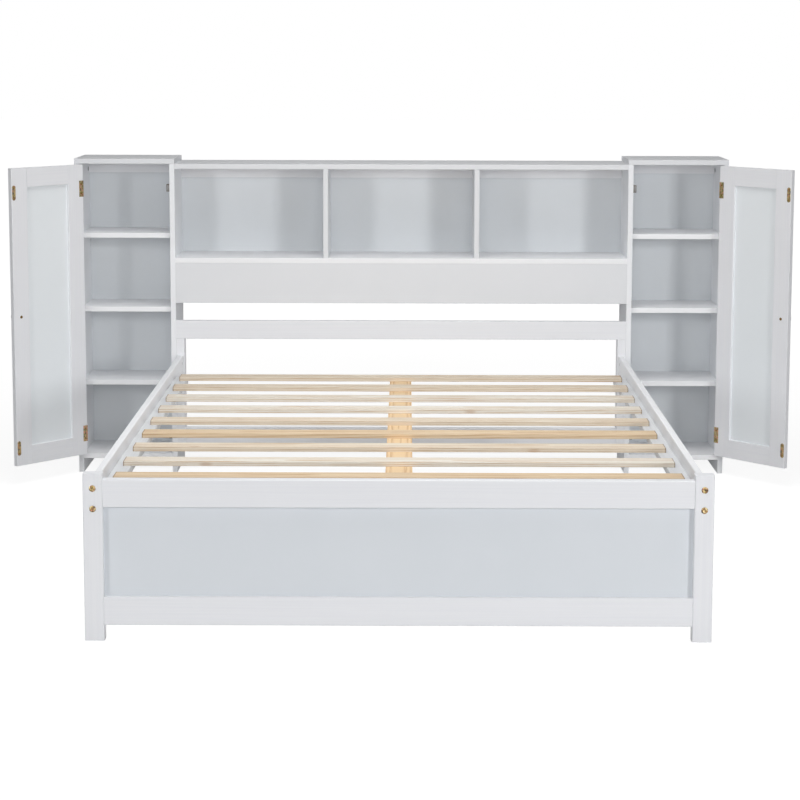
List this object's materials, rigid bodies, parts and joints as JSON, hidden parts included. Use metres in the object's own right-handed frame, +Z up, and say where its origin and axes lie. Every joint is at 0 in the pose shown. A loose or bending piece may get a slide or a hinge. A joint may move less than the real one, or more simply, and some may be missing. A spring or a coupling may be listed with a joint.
{
  "type": "platform bed with storage headboard",
  "caption": "Slatted platform bed with a panelled footboard and a storage headboard: an open bookcase between tall shelved side cabinets with framed doors.",
  "frame": {"origin": "on the floor, at the middle of the overall width and length with the doors open", "axes": "+Z up, +X across the bed to the right seen from the foot, +Y from the foot to the head"},
  "size_m": [2.432, 2.177, 1.013],
  "materials": {
    "white_paint": "satin white paint",
    "white_panel": "satin white paint",
    "pine": "planed, unfinished",
    "knob_paint": "gloss white paint",
    "brass": "plated, satin",
    "yellow_zinc": "yellow zinc plate",
    "steel": "plain zinc plate",
    "brown_plastic": "moulded"
  },
  "bodies": {
    "bed": {"foot_post_left": "white_paint", "foot_post_right": "white_paint", "foot_top_rail": "white_paint", "foot_bottom_rail": "white_paint", "foot_panel": "white_panel", "side_rail_left": "white_paint", "side_rail_right": "white_paint", "bed_bolts": "yellow_zinc", "cross_dowels": "steel", "slat_ledger_left": "white_paint", "slat_ledger_right": "white_paint", "centre_beam": "pine", "centre_legs": "pine", "slat_1": "pine", "slat_2": "pine", "slat_3": "pine", "slat_4": "pine", "slat_5": "pine", "slat_6": "pine", "slat_7": "pine", "slat_8": "pine", "slat_9": "pine", "head_post_left": "white_paint", "head_post_right": "white_paint", "head_top_rail": "white_paint", "head_bottom_rail": "white_paint", "bridge_top": "white_paint", "bridge_shelf": "white_paint", "bridge_apron": "white_paint", "bridge_divider_left": "white_paint", "bridge_divider_right": "white_paint", "left_cabinet_inner_side": "white_paint", "left_cabinet_outer_side": "white_paint", "left_cabinet_top": "white_paint", "left_cabinet_bottom": "white_paint", "left_cabinet_shelves": "white_paint", "right_cabinet_inner_side": "white_paint", "right_cabinet_outer_side": "white_paint", "right_cabinet_top": "white_paint", "right_cabinet_bottom": "white_paint", "right_cabinet_shelves": "white_paint", "back_panels": "white_panel", "back_rails": "white_paint", "cabinet_hinge_leaves": "brass", "hinge_pins": "brass", "magnetic_catches": "brown_plastic"},
    "left_door": {"left_door_hinge_stile": "white_paint", "left_door_latch_stile": "white_paint", "left_door_rails": "white_paint", "left_door_panel": "white_panel", "left_door_hinge_leaves": "brass", "left_door_knob": "knob_paint", "left_door_strikes": "brass"},
    "right_door": {"right_door_hinge_stile": "white_paint", "right_door_latch_stile": "white_paint", "right_door_rails": "white_paint", "right_door_panel": "white_panel", "right_door_hinge_leaves": "brass", "right_door_knob": "knob_paint", "right_door_strikes": "brass"}
  },
  "joints": [
    {"name": "left_door_hinge", "type": "hinge", "parent": "bed", "child": "left_door", "pos_m": [-1.0235, 0.8553, 0.529], "axis": [0, 0, -1], "range_deg": [-132, 43]},
    {"name": "right_door_hinge", "type": "hinge", "parent": "bed", "child": "right_door", "pos_m": [1.0235, 0.8553, 0.529], "axis": [0, 0, 1], "range_deg": [-132, 43]}
  ]
}
